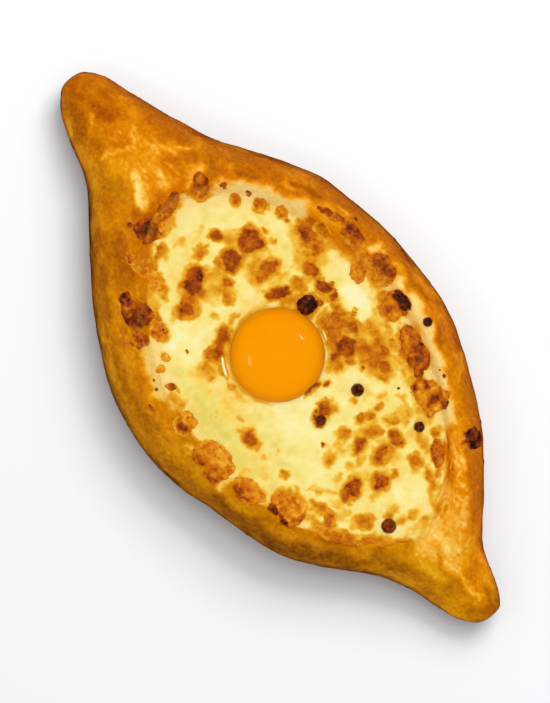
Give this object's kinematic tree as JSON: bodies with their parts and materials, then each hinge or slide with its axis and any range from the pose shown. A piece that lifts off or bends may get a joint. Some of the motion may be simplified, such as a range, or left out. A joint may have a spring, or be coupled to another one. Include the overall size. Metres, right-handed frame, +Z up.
{
  "type": "khachapuri",
  "caption": "Boat of golden bread with two pointed ends, filled with baked cheese and a whole egg yolk, with browned cheese on its rim.",
  "frame": {"origin": "middle of the flat base, under the centre of the whole object's box", "axes": "+X along the boat towards its narrower pointed end, +Z up out of the filling, +Y across the boat"},
  "size_m": [0.266, 0.1278, 0.0314],
  "materials": {
    "crust": "baked golden crust with an egg wash, satin",
    "cheese": "melted pale cheese, moist, with browned spots",
    "yolk": "soft egg yolk, glossy",
    "browned_cheese": "browned cheese, rough and granular"
  },
  "bodies": {
    "root": {"bread": "crust", "cheese": "cheese", "yolk": "yolk", "browned_curd_01": "browned_cheese", "browned_curd_02": "browned_cheese", "browned_curd_03": "browned_cheese", "browned_curd_04": "browned_cheese", "browned_curd_05": "browned_cheese", "browned_curd_06": "browned_cheese", "browned_curd_07": "browned_cheese", "browned_curd_08": "browned_cheese", "browned_curd_09": "browned_cheese", "browned_curd_10": "browned_cheese", "browned_curd_11": "browned_cheese", "browned_curd_12": "browned_cheese", "browned_curd_13": "browned_cheese", "browned_curd_14": "browned_cheese", "browned_curd_15": "browned_cheese"}
  },
  "joints": []
}
